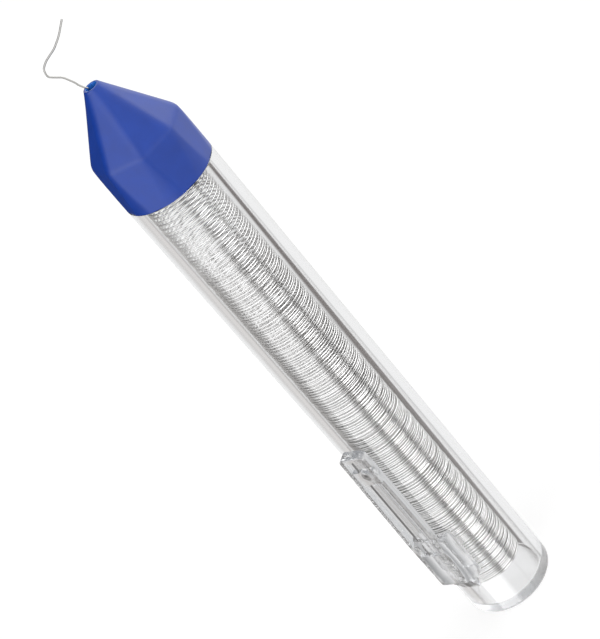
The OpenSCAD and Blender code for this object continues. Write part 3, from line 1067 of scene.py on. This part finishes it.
from_level = calc(sky, "ABSOLUTE", calc(sky, "SUBTRACT", rise, BAND_LEVEL))
band = calc(sky, "MAXIMUM", calc(sky, "MULTIPLY_ADD", from_level, -1 / BAND_HALF, 1.0), 0.0)
lift = calc(sky, "MULTIPLY_ADD", band, BAND_GAIN, 1.0)
lifted_panels = {0: panel_light(sky, share, OPEN_PANELS), "Scale": lift}
open_room = node_of(sky, "ShaderNodeVectorMath", lifted_panels, operation="SCALE")
steep = calc(sky, "DIVIDE", calc(sky, "SUBTRACT", SKIN_BELOW, rise), SKIN_FADE)
not_too_steep = calc(sky, "DIVIDE", calc(sky, "SUBTRACT", rise, SKIN_ABOVE), SKIN_FADE)
in_window = calc(sky, "MINIMUM", steep, not_too_steep)
skin_room = pick(sky, in_window, WHITE, panel_light(sky, share, SKIN_PANELS))
outside = pick(sky, skin_ray, open_room, skin_room)

# %% What light through the plastic meets
STRIP_LEAN = 56 / FULL_TURN
STRIP_LEVEL = 0.451
STRIP_END = -0.66
STRIP_FADE_START = -0.46
STRIP_FADE = 1.0

raised = calc(sky, "GREATER_THAN", rise, 0.0)
low_light = panel_light(sky, share, LOW_PANELS)
high_light = panel_light(sky, share, HIGH_PANELS)
through = pick(sky, raised, low_light, high_light)
leaning = calc(sky, "MULTIPLY_ADD", calc(sky, "ADD", rise, STRIP_LEVEL), STRIP_LEAN, share)
beside = calc(sky, "MULTIPLY", inside, calc(sky, "GREATER_THAN", rise, STRIP_END))
past_fade = calc(sky, "SUBTRACT", rise, STRIP_FADE_START)
strip_share = calc(sky, "MULTIPLY", beside, calc(sky, "MULTIPLY_ADD", past_fade, STRIP_FADE, 1.0))
behind = pick(sky, strip_share, WHITE, panel_light(sky, leaning, EDGE_STRIP, BROWN))

# %% Backdrop
AMBIENT = 0.9

mirrored = pick(sky, inside, outside, through)
sharp_room = pick(sky, straight, mirrored, behind)
clip_room = panel_light(sky, share, CLIP_PANELS, COOL)
shiny = calc(sky, "MAXIMUM", ray["Is Glossy Ray"], ray["Is Transmission Ray"])
seen = calc(sky, "MAXIMUM", ray["Is Camera Ray"], shiny)
backdrop = sky.nodes["Background"]
sky.links.new(pick(sky, from_clip, sharp_room, clip_room), backdrop.inputs["Color"])
sky.links.new(calc(sky, "MULTIPLY_ADD", seen, 1 - AMBIENT, AMBIENT), backdrop.inputs["Strength"])
print("backdrop of", len(sky.nodes), "nodes, with", len(HIGH_PANELS), "greys in its longest ramp")

# %% [markdown]
# ## Floor and lamps
# The tube stands on white paper. A plain white floor would turn grey with the light on it, so the paper
# glows a little to the eye and keeps only a faint shadow, while the light that bounces off it is that
# of real paper. Mirrored and refracted rays pass it, because they have the panels. Two soft lamps
# shape the cap's facets.

# %% Floor
FLOOR_SIZE = 4.0
FLOOR_GAP = 0.0002
FLOOR_WHITE = 0.8
FLOOR_SHADOW = 0.3
FLOOR_GLOW = 0.74

floor_corners = [(-1, -1), (1, -1), (1, 1), (-1, 1)]
floor_points = [(x * FLOOR_SIZE, y * FLOOR_SIZE, -FLOOR_GAP) for x, y in floor_corners]
floor_mesh = bpy.data.meshes.new("floor")
floor_mesh.from_pydata(floor_points, [], [(0, 1, 2, 3)])
floor = add_object("floor", floor_mesh)
floor.visible_glossy = False
floor.visible_transmission = False
floor_paper = bpy.data.materials.new("floor_paper")
floor_paper.use_nodes = True
paper = floor_paper.node_tree
paper.nodes.remove(paper.nodes["Principled BSDF"])
glow = node_of(paper, "ShaderNodeEmission", {"Strength": FLOOR_GLOW})
shadow = node_of(paper, "ShaderNodeBsdfDiffuse", {"Color": [FLOOR_SHADOW] * 3 + [1]})
looked_at = node_of(paper, "ShaderNodeAddShader", {0: glow, 1: shadow})
bouncing = node_of(paper, "ShaderNodeBsdfDiffuse", {"Color": [FLOOR_WHITE] * 3 + [1]})
by_eye = node_of(paper, "ShaderNodeLightPath", {}, out="Is Camera Ray")
surface = node_of(paper, "ShaderNodeMixShader", {0: by_eye, 1: bouncing, 2: looked_at})
paper.links.new(surface, paper.nodes["Material Output"].inputs["Surface"])
floor_mesh.materials.append(floor_paper)
print("the floor is", 2 * FLOOR_SIZE, "m wide")

# %% Lamps
LAMP_AIM = Vector((0, 0, 0.08))


def add_lamp(name, degrees, elevation, distance, size, power):
    """A soft square lamp that faces the cap, placed by its direction from the camera's side."""
    data = bpy.data.lights.new(name, "AREA")
    data.size = size
    data.energy = power
    lamp = bpy.data.objects.new(name, data)
    a = CAMERA_TURN + math.radians(degrees)
    e = math.radians(elevation)
    way = Vector((math.cos(a) * math.cos(e), math.sin(a) * math.cos(e), math.sin(e)))
    facing = way.to_track_quat("Z", "Y").to_matrix().to_4x4()
    lamp.matrix_world = Matrix.Translation(LAMP_AIM + distance * way) @ facing
    scene.collection.objects.link(lamp)
    print(name, "at", [round(x, 2) for x in lamp.matrix_world.translation])


add_lamp("key_lamp", degrees=112, elevation=35, distance=0.7, size=0.45, power=0.9)
add_lamp("fill_lamp", degrees=-25, elevation=62, distance=0.7, size=0.5, power=0.6)
